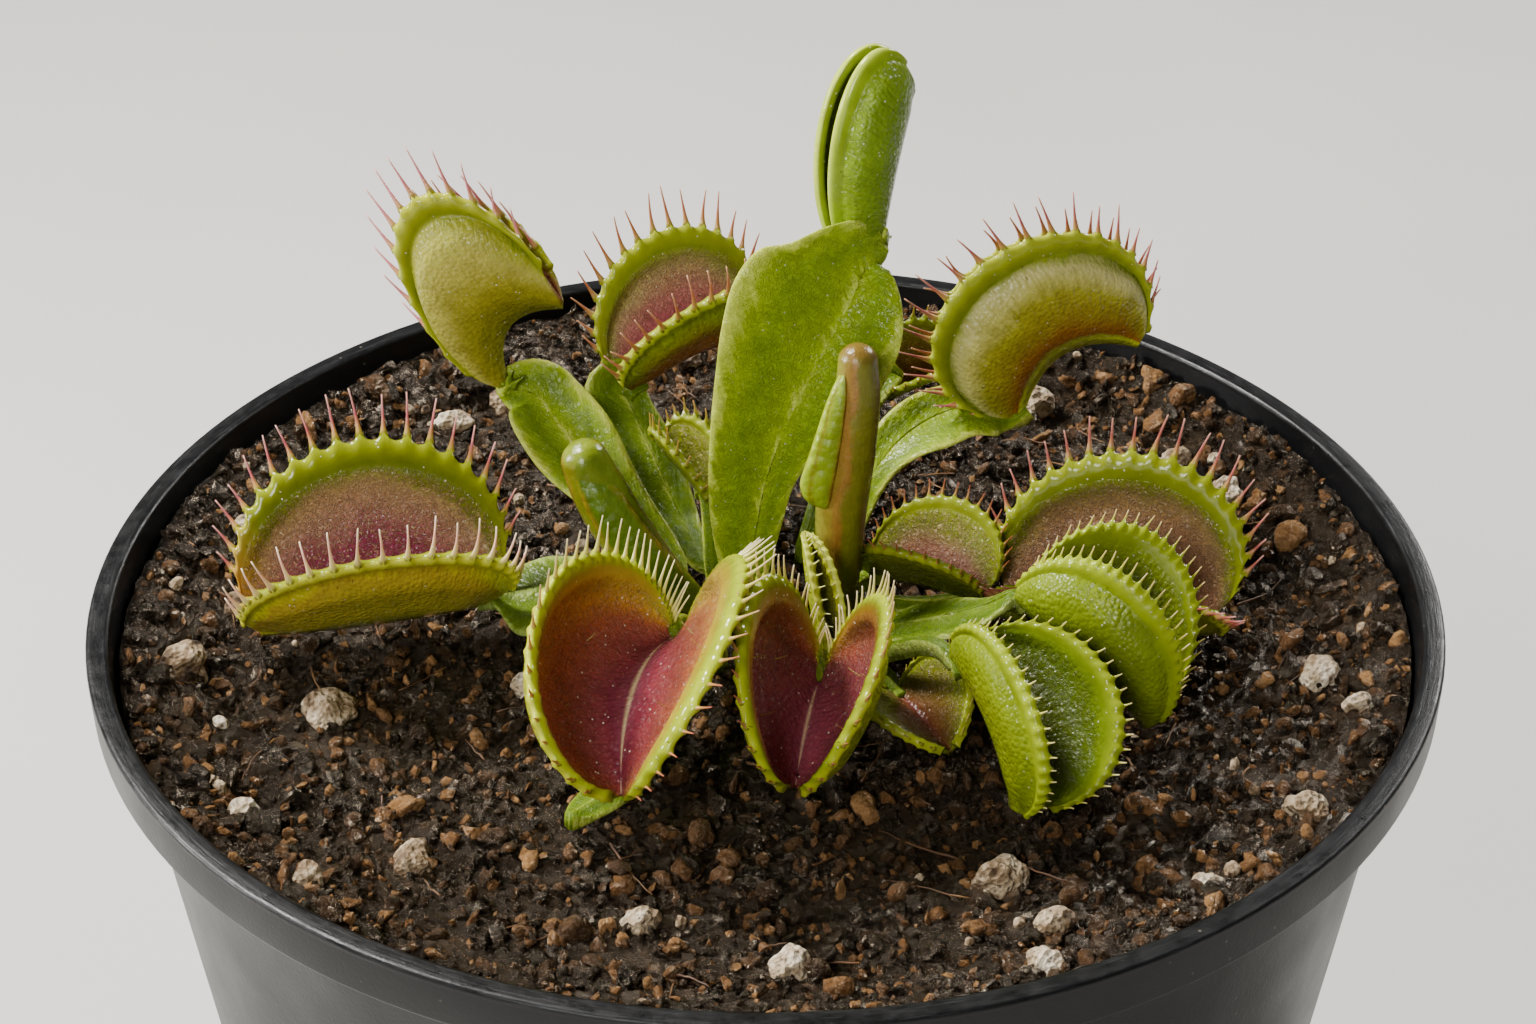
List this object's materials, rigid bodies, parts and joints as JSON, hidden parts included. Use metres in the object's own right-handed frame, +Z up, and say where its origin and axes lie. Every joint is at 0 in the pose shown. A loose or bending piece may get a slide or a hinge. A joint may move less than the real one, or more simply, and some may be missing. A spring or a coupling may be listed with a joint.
{
  "type": "potted venus flytrap",
  "caption": "Round nursery pot filled with dark peat, holding a rosette of winged leaves that end in hinged, toothed two-lobed traps around one tall young leaf.",
  "frame": {"origin": "middle of the pot's foot, on the surface it stands on", "axes": "+Z up along the pot's axis, -Y towards the viewer of the picture, +X to the viewer's right"},
  "size_m": [0.12, 0.12, 0.151],
  "materials": {
    "pot": "satin",
    "soil": "matte",
    "leaf_green": "satin",
    "leaf_young": "satin",
    "leaf_olive": "satin",
    "leaf_wine": "satin"
  },
  "bodies": {
    "root": {"pot": "pot", "soil": "soil", "leaf_left": "leaf_green", "leaf_front_left": "leaf_wine", "leaf_front_centre": "leaf_wine", "leaf_front_slim": "leaf_young", "leaf_front_right": "leaf_young", "leaf_front_right_small": "leaf_green", "leaf_right": "leaf_green", "leaf_right_near": "leaf_young", "leaf_right_dark": "leaf_green", "leaf_back_left": "leaf_olive", "leaf_back_small": "leaf_green", "leaf_back_centre": "leaf_green", "leaf_tall": "leaf_young", "leaf_back_hidden": "leaf_green", "leaf_back_right": "leaf_olive", "leaf_low_front": "leaf_green", "bud_left": "leaf_olive", "bud_centre": "leaf_olive"}
  },
  "joints": []
}
